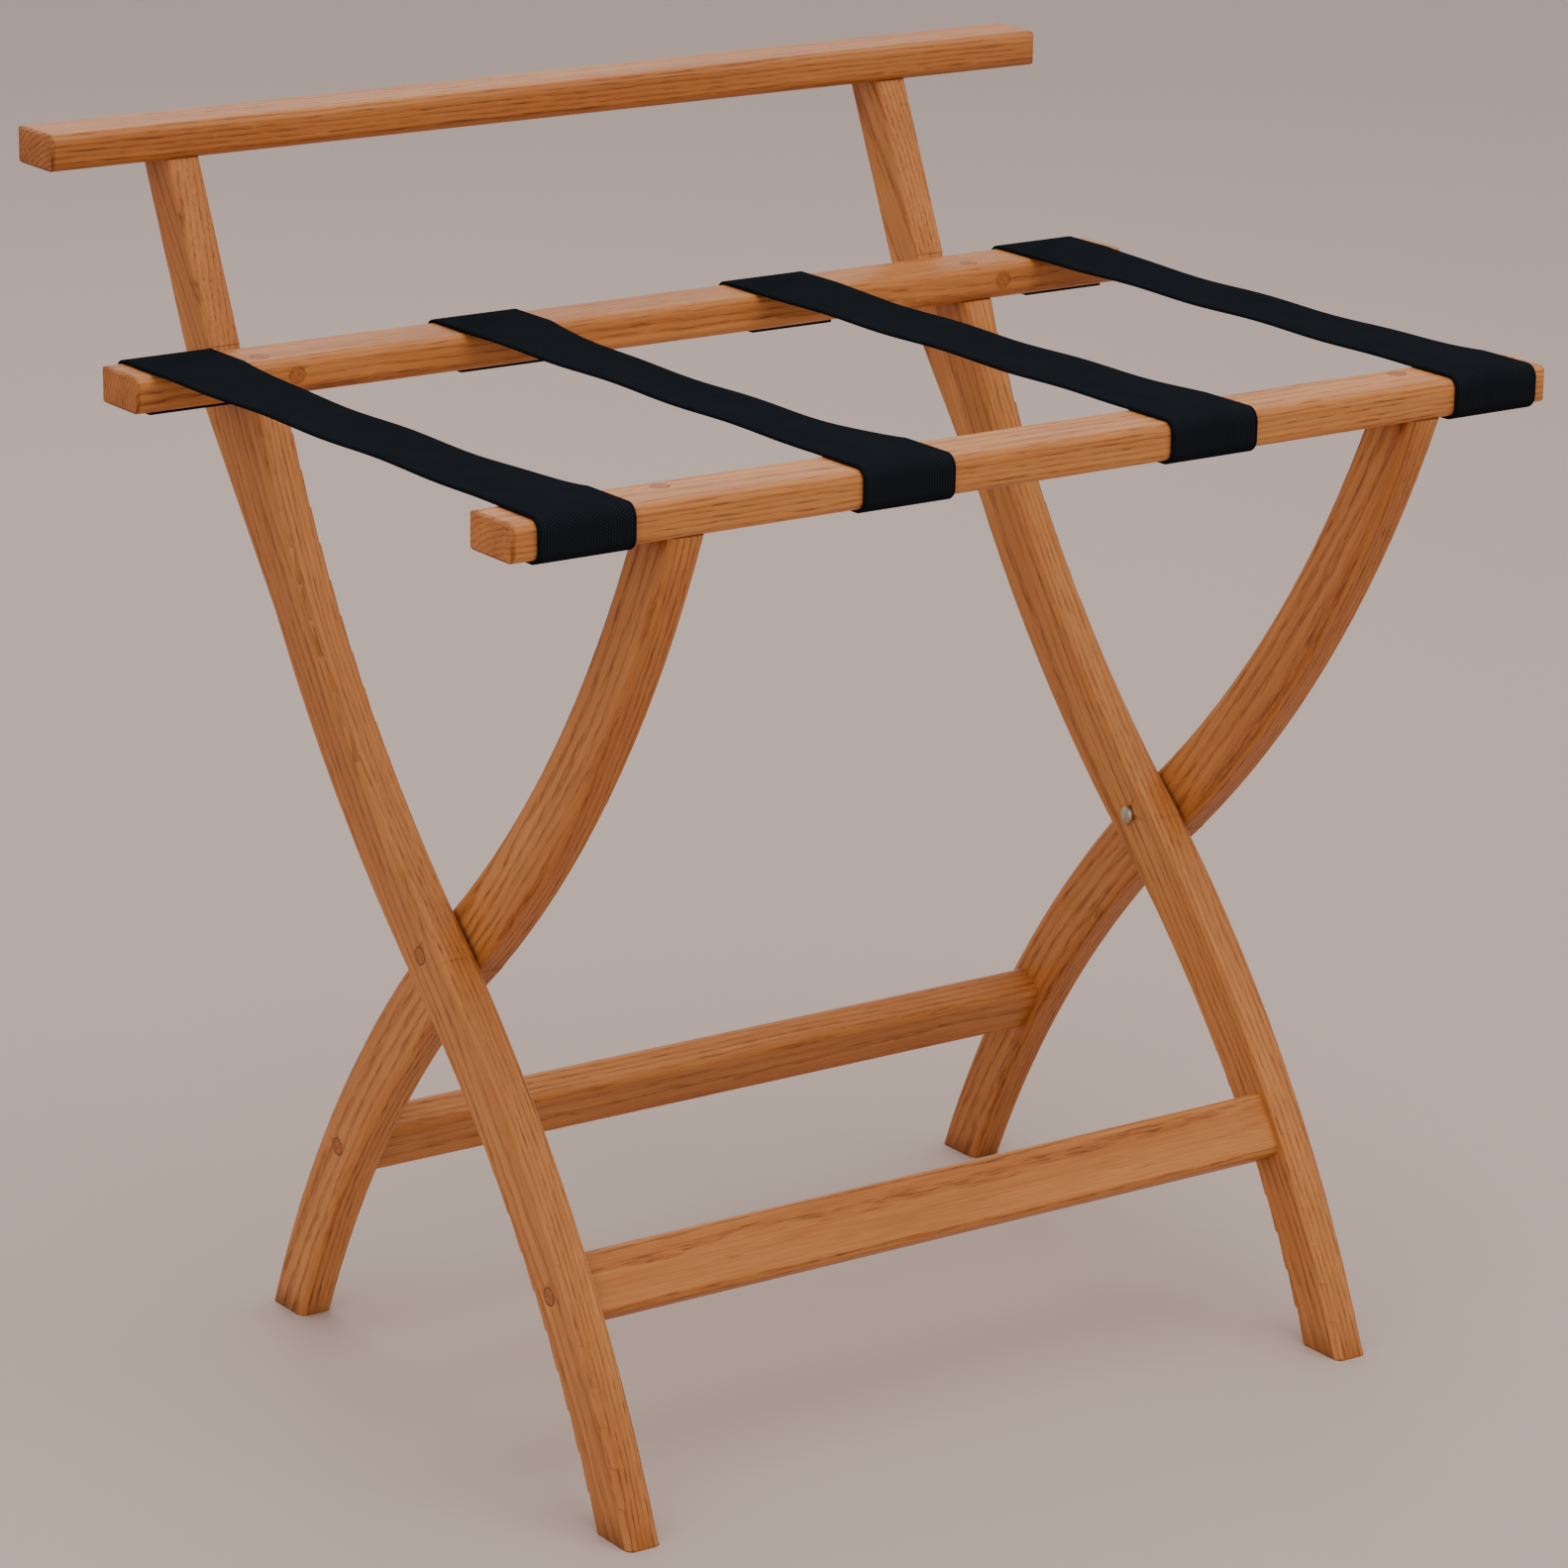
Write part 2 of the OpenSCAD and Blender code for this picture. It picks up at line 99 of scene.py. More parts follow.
# How slack each strap hangs, and how far its front end sits to the right of its back end.
SLACKNESS = (1.0, 1.25, 0.5, 0.65)
DRIFT_TO_FRONT = (0.0035, 0.0015, 0.0022, 0.0008)
# How much wider a strap is at its front end, and how much narrower where it hangs free.
WIDER_AT_FRONT = 0.03
NARROWER_IN_SPAN = 0.012
# The ripple along a free strap: its height, and its waves over half the span.
RIPPLE_HEIGHT = 0.0005
RIPPLE_TURNS = 9.0
# Faces across a strap, along half its span, along each flat of a rail, and round each rail edge.
STRAP_COLUMNS = 12
SPAN_ROWS = 44
FLAT_ROWS = 8
ARC_ROWS = 8
# How far a strap runs on past the rounding under the rail.
TUCK = 0.001

# The plugs in the front face of the back seat rail.
FACE_PLUG_RADIUS = 0.005
# Distance of each staple from the middle of its strap, and the length of its legs.
STAPLE_OFFSET = 0.013
STAPLE_LEG = 0.0012

# The centre line of a leg about the pivot: its slope, its bow, and the rise where the bow ends.
LEG_SLOPE = 0.70
LEG_BOW = 0.395
LEG_BOW_FALL = 1.6
LEG_BOW_END = 0.247
LEG_BOW_SHARE = 0.55
# Share of a rise and of a run that counts along the leg, at its usual lean.
LEG_RISE_SHARE = 0.82
LEG_RUN_SHARE = 0.57
STRETCHER_LEAN = math.radians(36.3)
RINGS_PER_METRE = 360.0
# Length of the sawn ends, where the wood shows end grain.
FOOT_END = 0.0012
RAIL_END_START = 0.0022
RAIL_END_FULL = 0.0008

# Points of a copied mesh closer than this are one point.
MERGE_DISTANCE = 0.00001
# Faces that meet at less than this angle are shaded as one surface.
WOOD_SMOOTH = math.radians(52)
STRAP_SMOOTH = math.radians(50)
WIRE_SMOOTH = math.radians(40)


# Sizes and colours ---------------------------------------------------------


class RackSizes(bpy.types.PropertyGroup):
    """Sizes of the soft and small pieces."""

    strap_width: FloatProperty(
        name="Strap width", description="Width of the webbing", default=0.051, unit="LENGTH"
    )
    strap_thickness: FloatProperty(
        name="Strap thickness", description="Thickness of the webbing", default=0.0016, unit="LENGTH"
    )
    strap_gap: FloatProperty(
        name="Strap gap", description="Air between webbing and wood", default=0.0003, unit="LENGTH"
    )
    strap_sag: FloatProperty(
        name="Strap sag", description="How far the slack edge of a strap drops", default=0.0042, unit="LENGTH"
    )
    rail_rounding: FloatProperty(
        name="Rail rounding", description="Radius of the rails' long edges", default=0.005, unit="LENGTH"
    )
    plug_rim: FloatProperty(
        name="Plug rim", description="Width of the bevel on the plugs' edges", default=0.0004, unit="LENGTH"
    )
    staple_wire: FloatProperty(
        name="Staple wire", description="Thickness of the staple wire", default=0.0009, unit="LENGTH"
    )
    staple_width: FloatProperty(
        name="Staple width", description="Width of a staple's crown", default=0.011, unit="LENGTH"
    )
    weave_columns: IntProperty(
        name="Weave columns", description="Number of warp yarns across the webbing", default=34
    )


class RackColours(bpy.types.PropertyGroup):
    """Colours of the finishes, linear."""

    oak_pale: FloatVectorProperty(
        name="Pale oak", description="Wood between the growth lines", subtype="COLOR",
        default=(0.58, 0.232, 0.061),
    )
    oak_mid: FloatVectorProperty(
        name="Mid oak", description="Main colour of the oiled oak", subtype="COLOR",
        default=(0.42, 0.139, 0.029),
    )
    oak_dark: FloatVectorProperty(
        name="Dark oak", description="Growth lines of the oak", subtype="COLOR",
        default=(0.23, 0.060, 0.011),
    )
    oak_pore: FloatVectorProperty(
        name="Oak pores", description="Open pores of the oak", subtype="COLOR",
        default=(0.10, 0.026, 0.006),
    )
    webbing: FloatVectorProperty(
        name="Webbing", description="Black webbing yarn", subtype="COLOR",
        default=(0.0060, 0.0078, 0.0100),
    )
    # Lighter colour for the yarn crowns: painted sheen, partly real wear.
    webbing_sheen_and_wear: FloatVectorProperty(
        name="Worn webbing", description="Tops of the webbing yarns", subtype="COLOR",
        default=(0.0145, 0.0175, 0.0210),
    )
    steel: FloatVectorProperty(
        name="Steel", description="Bolts, washers and staples", subtype="COLOR",
        default=(0.42, 0.41, 0.39),
    )
    cap_metal: FloatVectorProperty(
        name="Cap metal", description="Caps on the pivot bolts", subtype="COLOR",
        default=(0.5, 0.44, 0.34),
    )
    floor: FloatVectorProperty(
        name="Floor", description="Studio floor", subtype="COLOR", default=(0.5, 0.395, 0.345)
    )


# Shader maths ----------------------------------------------------------------


class Value:
    """A number that a shader works out, with the usual operators."""

    def __init__(self, graph, socket):
        self.graph = graph
        self.socket = socket

    def _math(self, operation, first, second=0.0):
        node = self.graph.add("ShaderNodeMath", {"operation": operation}, {0: first, 1: second})
        return Value(self.graph, node.outputs[0])

    def __add__(self, other):
        return self._math("ADD", self, other)

    __radd__ = __add__

    def __sub__(self, other):
        return self._math("SUBTRACT", self, other)

    def __rsub__(self, other):
        return self._math("SUBTRACT", other, self)

    def __mul__(self, other):
        return self._math("MULTIPLY", self, other)

    __rmul__ = __mul__

    def __abs__(self):
        return self._math("ABSOLUTE", self)

    def fraction(self):
        return self._math("FRACT", self)

    def floor(self):
        return self._math("FLOOR", self)

    def root(self):
        return self._math("SQRT", self)

    def least(self, other):
        return self._math("MINIMUM", self, other)

    def above(self, low, high):
        """0 below low, 1 above high, smooth between."""
        node = self.graph.add(
            "ShaderNodeMapRange",
            {"interpolation_type": "SMOOTHSTEP"},
            {"Value": self, "From Min": low, "From Max": high},
        )
        return Value(self.graph, node.outputs["Result"])


class Graph:
    """The node tree of one material."""

    def __init__(self, name):
        self.material = bpy.data.materials.new(name)
        self.material.use_nodes = True
        self.tree = self.material.node_tree
        self.shader = self.tree.nodes["Principled BSDF"]

    def add(self, kind, settings=None, sockets=None):
        """A node of that kind: its settings first, then values or links for its sockets."""
        node = self.tree.nodes.new(kind)
        for key, value in (settings or {}).items():
            setattr(node, key, value)
        for key, value in (sockets or {}).items():
            self.put(node.inputs[key], value)
        return node

    def put(self, socket, value):
        if isinstance(value, Value):
            self.tree.links.new(value.socket, socket)
        elif isinstance(value, bpy.types.NodeSocket):
            self.tree.links.new(value, socket)
        else:
            socket.default_value = value

    def place(self):
        """Object coordinates as three values."""
        source = self.add("ShaderNodeTexCoord")
        split = self.add("ShaderNodeSeparateXYZ", None, {0: source.outputs["Object"]})
        return tuple(Value(self, split.outputs[i]) for i in range(3))

    def strip(self, name):
        """A piece's own UV map as two values."""
        source = self.add("ShaderNodeUVMap", {"uv_map": name})
        split = self.add("ShaderNodeSeparateXYZ", None, {0: source.outputs[0]})
        return Value(self, split.outputs[0]), Value(self, split.outputs[1])

    def vector(self, x, y, z):
        node = self.add("ShaderNodeCombineXYZ", None, {0: x, 1: y, 2: z})
        return node.outputs[0]

    def noise(self, vector, scale, detail=2.0, roughness=0.5):
        node = self.add(
            "ShaderNodeTexNoise",
            None,
            {"Vector": vector, "Scale": scale, "Detail": detail, "Roughness": roughness},
        )
        return Value(self, node.outputs[0])

    def mix(self, factor, first, second):
        node = self.add("ShaderNodeMix", {"data_type": "RGBA"}, {0: factor, 6: first, 7: second})
        return node.outputs[2]

    def bump(self, height, distance, strength=1.0):
        node = self.add(
            "ShaderNodeBump", None, {"Height": height, "Distance": distance, "Strength": strength}
        )
        return node.outputs["Normal"]

    def finish(self, **sockets):
        for name, value in sockets.items():
            self.put(self.shader.inputs[name.replace("_", " ")], value)
        return self.material


def rgba(colour):
    return (*colour, 1.0)


class Board:
    """How one piece was sawn: where its grain runs and where the tree's heart was."""

    def __init__(self, node, kind, seed, tone=0.0, heart=(0.03, 0.07), side=1.0):
        low, high = (Vector(corner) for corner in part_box(node))
        self.node = node
        self.kind = kind
        self.seed = seed
        self.tone = tone
        self.heart = heart
        self.side = side
        self.middle = (low + high) / 2
        self.end = high.x

    def axes(self, graph):
        """Length along the grain, then the two directions across it."""
        x, y, z = graph.place()
        if self.kind == "leg":
            rise = z - PIVOT.z
            run = (y - PIVOT.y) * self.side
            bow = rise * (LEG_BOW - LEG_BOW_FALL * abs(rise).least(LEG_BOW_END))
            across = (run - LEG_SLOPE * rise - LEG_BOW_SHARE * bow) * LEG_RISE_SHARE
            return rise * LEG_RISE_SHARE + run * LEG_RUN_SHARE, across, x - self.middle.x
        if self.kind == "stretcher":
            dy = (y - self.middle.y) * self.side
            dz = z - self.middle.z
            sine = math.sin(STRETCHER_LEAN)
            cosine = math.cos(STRETCHER_LEAN)
            return x, dy * sine + dz * cosine, dy * cosine - dz * sine
        return x, y - self.middle.y, z - self.middle.z

    def cut(self, graph):
        """1 on the sawn ends that show, 0 elsewhere. A stretcher's ends are hidden."""
        if self.kind == "stretcher":
            return 0.0
        x, _, z = graph.place()
        if self.kind == "leg":
            return 1.0 - z.above(0.0, FOOT_END)
        return abs(x).above(self.end - RAIL_END_START, self.end - RAIL_END_FULL)


def oak(board, colours):
    """Satin oak with pore rows, growth bands, fine fibre and end grain."""
    graph = Graph(board.node + " oak")
    seed = board.seed
    length, across, depth = board.axes(graph)
    far = length + seed * 0.37
    drift = graph.noise(graph.vector(far * 2.4, across * 5.0, depth * 5.0 + seed), 1.0, 2.0)
    heart_a = across + board.heart[0] + (drift - 0.5) * 0.035
    heart_d = depth + board.heart[1]
    radius = (heart_a * heart_a + heart_d * heart_d).root()
    ripple = graph.noise(graph.vector(far * 22.0, across * 210.0, depth * 210.0), 1.0, 3.0, 0.6)
    years = radius * RINGS_PER_METRE + (ripple - 0.5) * 1.1 + seed * 1.7
    phase = years.fraction()
    strong = graph.noise(graph.vector(years.floor() * 0.73, seed, 0.5), 1.7, 0.0)
    early = phase.above(0.0, 0.16) * (1.0 - phase.above(0.26, 0.62))
    breaks = graph.noise(graph.vector(far * 75.0, across * 520.0, depth * 520.0), 1.0, 2.0)
    row = early * (0.1 + 1.3 * strong) * (1.9 * breaks).above(0.35, 1.35) * 1.2
    fibre = graph.noise(graph.vector(far * 30.0, across * 1100.0, depth * 1100.0), 1.0, 3.0, 0.65)
    broad = graph.noise(graph.vector(far * 4.0, across * 60.0, depth * 60.0 + seed), 1.0, 3.0)
    dashes = graph.noise(graph.vector(far * 70.0, across * 1500.0, depth * 1500.0 + seed), 1.0, 1.0)
    pores = dashes.above(0.54, 0.66) * (0.12 + 0.88 * early)
    rays = graph.noise(graph.vector(far * 150.0, across * 700.0, depth * 120.0), 1.0, 1.0)
    ends = board.cut(graph)
    shade = 0.42 + board.tone + 0.46 * row + 0.85 * (fibre - 0.5) + 1.1 * (broad - 0.5) + 0.3 * ends
    wood = graph.mix(shade.above(0.05, 0.72), rgba(colours.oak_pale), rgba(colours.oak_mid))
    wood = graph.mix(shade.above(0.6, 1.35), wood, rgba(colours.oak_dark))
    wood = graph.mix(rays.above(0.68, 0.82) * 0.25, wood, rgba(colours.oak_pale))
    wood = graph.mix(pores * 0.55, wood, rgba(colours.oak_pore))
    height = 0.4 * fibre - 0.35 * early - 0.9 * pores
    rough = 0.40 + 0.12 * fibre + 0.14 * pores + 0.12 * ends
    return graph.finish(
        Base_Color=wood,
        Roughness=rough,
        Normal=graph.bump(height, 0.00016, 0.5),
        Coat_Weight=0.04,
        Coat_Roughness=0.3,
        Specular_IOR_Level=0.26,
    )


def from_plug_axis(graph, node, axis):
    """How far a point is from the axis of the nearest plug, and the plugs' radius."""
    x, y, z = graph.place()
    low, high = (Vector(corner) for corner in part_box(node))
    middle = (low + high) / 2
    if axis == "x":
        dy = y - middle.y
        dz = z - middle.z
        return (dy * dy + dz * dz).root(), (high.z - low.z) / 2
    radius = FACE_PLUG_RADIUS if axis == "y" else (high.y - low.y) / 2
    dx = abs(x - middle.x) - ((high.x - low.x) / 2 - radius)
    if axis == "y":
        return abs(dx), radius
    dy = y - middle.y
    return (dx * dx + dy * dy).root(), radius


def plug_oak(node, axis, colours, seed):
    """A small wooden plug with a dark ring of painted shade where the gap round it is."""
    graph = Graph(node + " oak")
    x, y, z = graph.place()
    away, radius = from_plug_axis(graph, node, axis)
    # Painted shade: a dark ring where the gap round the plug is, also pressed into the bump.
    gap_shade = away.above(radius - 0.0010, radius - 0.0003)
    speckle = graph.noise(graph.vector(x * 900.0, y * 900.0, z * 900.0 + seed), 1.0, 2.0)
    lines = graph.noise(graph.vector(x * 260.0, y * 1400.0, z * 260.0 + seed), 1.0, 2.0)
    wood = graph.mix(speckle.above(0.3, 0.75), rgba(colours.oak_mid), rgba(colours.oak_dark))
    wood = graph.mix(lines.above(0.58, 0.7) * 0.4, wood, rgba(colours.oak_pore))
    wood = graph.mix(gap_shade * 0.85, wood, rgba(colours.oak_pore))
    return graph.finish(
        Base_Color=wood,
        Roughness=0.4 + 0.15 * speckle,
        Normal=graph.bump(speckle + lines - 3.0 * gap_shade, 0.00015, 0.5),
        Coat_Weight=0.04,
        Coat_Roughness=0.35,
        Specular_IOR_Level=0.26,
    )


def black_webbing(name, colours, columns):
    """Flat woven webbing: twill ribs along the strap, finer crossing yarns and bound edges."""
    graph = Graph(name)
    across, along = graph.strip("strap")
    column = across * columns
    rib = column.fraction() - 0.5
    rib_height = 1.0 - 4.0 * rib * rib
    step = column.floor() * 0.5
    pick = (along * 620.0 + step).fraction() - 0.5
    pick_height = 1.0 - 4.0 * pick * pick
    edge = abs(across - 0.5).above(0.452, 0.488)
    fuzz = graph.noise(graph.vector(across * 130.0, along * 2400.0, 0.0), 1.0, 3.0, 0.7)
    dust = graph.noise(graph.vector(across * 2.2, along * 30.0, 0.0), 1.0, 3.0)
    weave = rib_height * 0.55 + pick_height * 0.45 * (1.0 - edge) + 0.25 * fuzz
    # Painted sheen: the raised yarn crowns are lighter in colour, made patchy by the dust noise, partly real
    # wear.
    crown_sheen_and_wear = weave.above(0.45, 1.15) * (0.35 + 0.9 * dust)
    yarn = graph.mix(crown_sheen_and_wear, rgba(colours.webbing), rgba(colours.webbing_sheen_and_wear))
    return graph.finish(
        Base_Color=yarn,
        Roughness=0.72 + 0.16 * fuzz,
        Normal=graph.bump(weave + 0.8 * edge, 0.0004, 0.8),
        Specular_IOR_Level=0.0,
    )


def worked_metal(name, colour, scale, rough, seed):
    """Plain plated metal with fine turning marks, dulled in patches."""
    graph = Graph(name)
    x, y, z = graph.place()
    marks = graph.noise(graph.vector(x * scale, y * 140.0, z * 140.0 + seed), 1.0, 3.0)
    tarnish = graph.noise(graph.vector(x * 90.0, y * 90.0, z * 90.0 + seed), 1.0, 3.0, 0.6)
    dull = tuple(channel * 0.45 for channel in colour)
    metal = graph.mix(tarnish.above(0.45, 0.75), rgba(colour), rgba(dull))
    return graph.finish(
        Base_Color=metal,
        Metallic=1.0,
        Roughness=rough + 0.2 * marks + 0.15 * tarnish,
        Normal=graph.bump(marks, 0.00005, 0.4),
    )


# Modelling helpers -------------------------------------------------------------


def deselect():
    bpy.ops.object.select_all(action="DESELECT")


def only(piece):
    deselect()
    piece.select_set(True)
    bpy.context.view_layer.objects.active = piece


def dress(piece, material):
    piece.data.materials.clear()
    piece.data.materials.append(material)


def paint(node, material):
    """Gives a CAD node a better material."""
    piece = frame["nodes"][node]
    for holder in piece.material_slots:
        holder.material = material
    if not piece.material_slots:
        piece.data.materials.append(material)


def body_of_node(node):
    for body, members in frame["record"]["behaviour"]["bodies"].items():
        if node in members:
            return body
    raise RuntimeError("no body holds " + node)


def finished_wood(node, material):
    """A sanded copy of a wooden CAD node: merged, its rounded edges shaded smooth."""
    source = frame["nodes"][node]
    only(source)
    bpy.ops.object.duplicate()
    piece = bpy.context.view_layer.objects.active
    piece.parent = None
    piece.matrix_world = Matrix.Identity(4)
    piece.name = node + "_sanded"
    piece.data.name = piece.name
    bpy.ops.object.mode_set(mode="EDIT")
    bpy.ops.mesh.select_all(action="SELECT")
    bpy.ops.mesh.remove_doubles(threshold=MERGE_DISTANCE)
    bpy.ops.object.mode_set(mode="OBJECT")
    bpy.ops.object.shade_smooth_by_angle(angle=WOOD_SMOOTH)
    soft = piece.modifiers.new("flat faces stay flat", "WEIGHTED_NORMAL")
    soft.mode = "FACE_AREA_WITH_ANGLE"
    soft.keep_sharp = True
    bpy.ops.object.modifier_apply(modifier=soft.name)
    dress(piece, material)
    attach(piece, body_of_node(node))
    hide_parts(node)


# Operators ----------------------------------------------------------------------


class RACK_OT_stage(bpy.types.Operator):
    """Pale floor, soft lights and the camera"""

    bl_idname = "rack.stage"
    bl_label = "Studio and camera"

    def execute(self, context):
        colours = context.scene.rack_colours
        self.add_floor(colours)
        self.add_lights(context)
        self.add_camera(context)
        return {"FINISHED"}

    def add_floor(self, colours):
        deselect()
        bpy.ops.mesh.primitive_plane_add(size=60.0, location=(0, 0, 0))
        floor = bpy.context.view_layer.objects.active
        floor.name = "studio_floor"
        graph = Graph("floor paint")
        x, y, z = graph.place()
        mottle = graph.noise(graph.vector(x * 3.0, y * 3.0, z), 1.0, 4.0)
        pale = rgba(tuple(channel * 1.03 for channel in colours.floor))
        paint_colour = graph.mix(mottle, rgba(colours.floor), pale)
        dress(floor, graph.finish(Base_Color=paint_colour, Roughness=0.85))

    def add_lights(self, context):
        world = bpy.data.worlds.new("studio air")
        world.use_nodes = True
        background = world.node_tree.nodes["Background"]
        background.inputs["Color"].default_value = (0.93, 0.9, 0.9, 1.0)
        background.inputs["Strength"].default_value = 0.9
        context.scene.world = world
        self.area_light("key", (0.2, -0.9, 2.8), size=2.2, power=34.0, colour=(1.0, 0.97, 0.93))
        self.area_light("fill", (-2.6, -1.4, 1.3), size=2.0, power=17.0, colour=(1.0, 0.97, 0.95))
        self.area_light("back", (0.6, 2.2, 2.4), size=2.0, power=20.0, colour=(1.0, 0.98, 0.95))

    def area_light(self, name, place, size, power, colour):
        deselect()
        bpy.ops.object.light_add(type="AREA", location=place)
        light = bpy.context.view_layer.objects.active
        light.name = "light_" + name
        light.data.size = size
        light.data.energy = power
        light.data.color = colour
        aim = Vector((0, 0, 0.3)) - Vector(place)
        light.rotation_euler = aim.to_track_quat("-Z", "Y").to_euler()

    def add_camera(self, context):
        place = Vector((-1.63817, PIVOT.y - 2.32047, 1.15042))
        azimuth = math.radians(-34.577)
        elevation = math.radians(17.735)
        roll = math.radians(0.585)
        back = Vector((
            math.sin(azimuth) * math.cos(elevation),
            -math.cos(azimuth) * math.cos(elevation),
            math.sin(elevation),
        ))
        right = Vector((0, 0, 1)).cross(back).normalized()
        up = back.cross(right)
        side = right * math.cos(roll) + up * math.sin(roll)
        top = up * math.cos(roll) - right * math.sin(roll)
        turn = Matrix((side, top, back)).transposed().to_4x4()
        deselect()
        bpy.ops.object.camera_add()
        camera = bpy.context.view_layer.objects.active
        camera.name = "camera"
        camera.matrix_world = Matrix.Translation(place) @ turn
        camera.data.sensor_width = 36.0
        camera.data.lens = 133.67
        camera.data.shift_x = 0.0168
        camera.data.shift_y = 0.0654
        camera.data.clip_end = 50.0
        context.scene.camera = camera


class RACK_OT_rails(bpy.types.Operator):
    """Oak guard rail and seat rails, grain along their length"""

    bl_idname = "rack.rails"
    bl_label = "Rails"

    def execute(self, context):
        colours = context.scene.rack_colours
        for board in (
            Board("guard_rail", "rail", seed=1, tone=0.12, heart=(0.035, 0.06)),
            Board("back_seat_rail", "rail", seed=4, tone=0.02, heart=(0.05, 0.022)),
            Board("front_seat_rail", "rail", seed=6, tone=-0.12, heart=(0.03, 0.07)),
        ):
            finished_wood(board.node, oak(board, colours))
        return {"FINISHED"}


class RACK_OT_legs(bpy.types.Operator):
    """Curved oak legs, grain following the curve"""

    bl_idname = "rack.legs"
    bl_label = "Legs"

    def execute(self, context):
        colours = context.scene.rack_colours
        for board in (
            Board("post_leg_left", "leg", seed=2, tone=0.08, heart=(0.032, 0.07)),
            Board("post_leg_right", "leg", seed=9, tone=-0.02, heart=(-0.02, 0.05)),
            Board("short_leg_left", "leg", seed=5, tone=0.02, heart=(0.036, -0.075), side=-1.0),
            Board("short_leg_right", "leg", seed=12, tone=0.06, heart=(-0.03, 0.08), side=-1.0),
        ):
            finished_wood(board.node, oak(board, colours))
        return {"FINISHED"}


class RACK_OT_stretchers(bpy.types.Operator):
    """Oak bars between the legs"""

    bl_idname = "rack.stretchers"
    bl_label = "Stretchers"

    def execute(self, context):
        colours = context.scene.rack_colours
        for board in (
            Board("front_stretcher", "stretcher", seed=3, tone=0.0, heart=(0.006, 0.055)),
            Board("rear_stretcher", "stretcher", seed=8, tone=0.08, heart=(0.02, 0.05), side=-1.0),
        ):
            finished_wood(board.node, oak(board, colours))
        return {"FINISHED"}


class RACK_OT_fixings(bpy.types.Operator):
    """Plugs, pivot bolts and caps, washers, screws and dowels"""

    bl_idname = "rack.fixings"
    bl_label = "Plugs and hardware"

    def execute(self, context):
        colours = context.scene.rack_colours
        for number, (node, axis) in enumerate(PLUGS):
            paint(node, plug_oak(node, axis, colours, seed=number * 1.3))
            rim = frame["nodes"][node].modifiers.new("eased rim", "BEVEL")
            rim.width = context.scene.rack_sizes.plug_rim
            rim.segments = 2
            rim.limit_method = "ANGLE"
            rim.angle_limit = math.radians(50)
        steel = worked_metal("bolt steel", colours.steel, scale=1800.0, rough=0.3, seed=0.0)
        screw = worked_metal("screw steel", colours.steel, scale=2600.0, rough=0.34, seed=4.0)
        cap = worked_metal("cap metal", colours.cap_metal, scale=1200.0, rough=0.24, seed=9.0)
        for node in BOLTS:
            paint(node, steel)
        for node in SCREWS:
            paint(node, screw)
        for node in CAPS:
            paint(node, cap)
        dowels = Board("guard_rail_dowels", "rail", seed=7, tone=-0.1)
        paint(dowels.node, oak(dowels, colours))
        return {"FINISHED"}


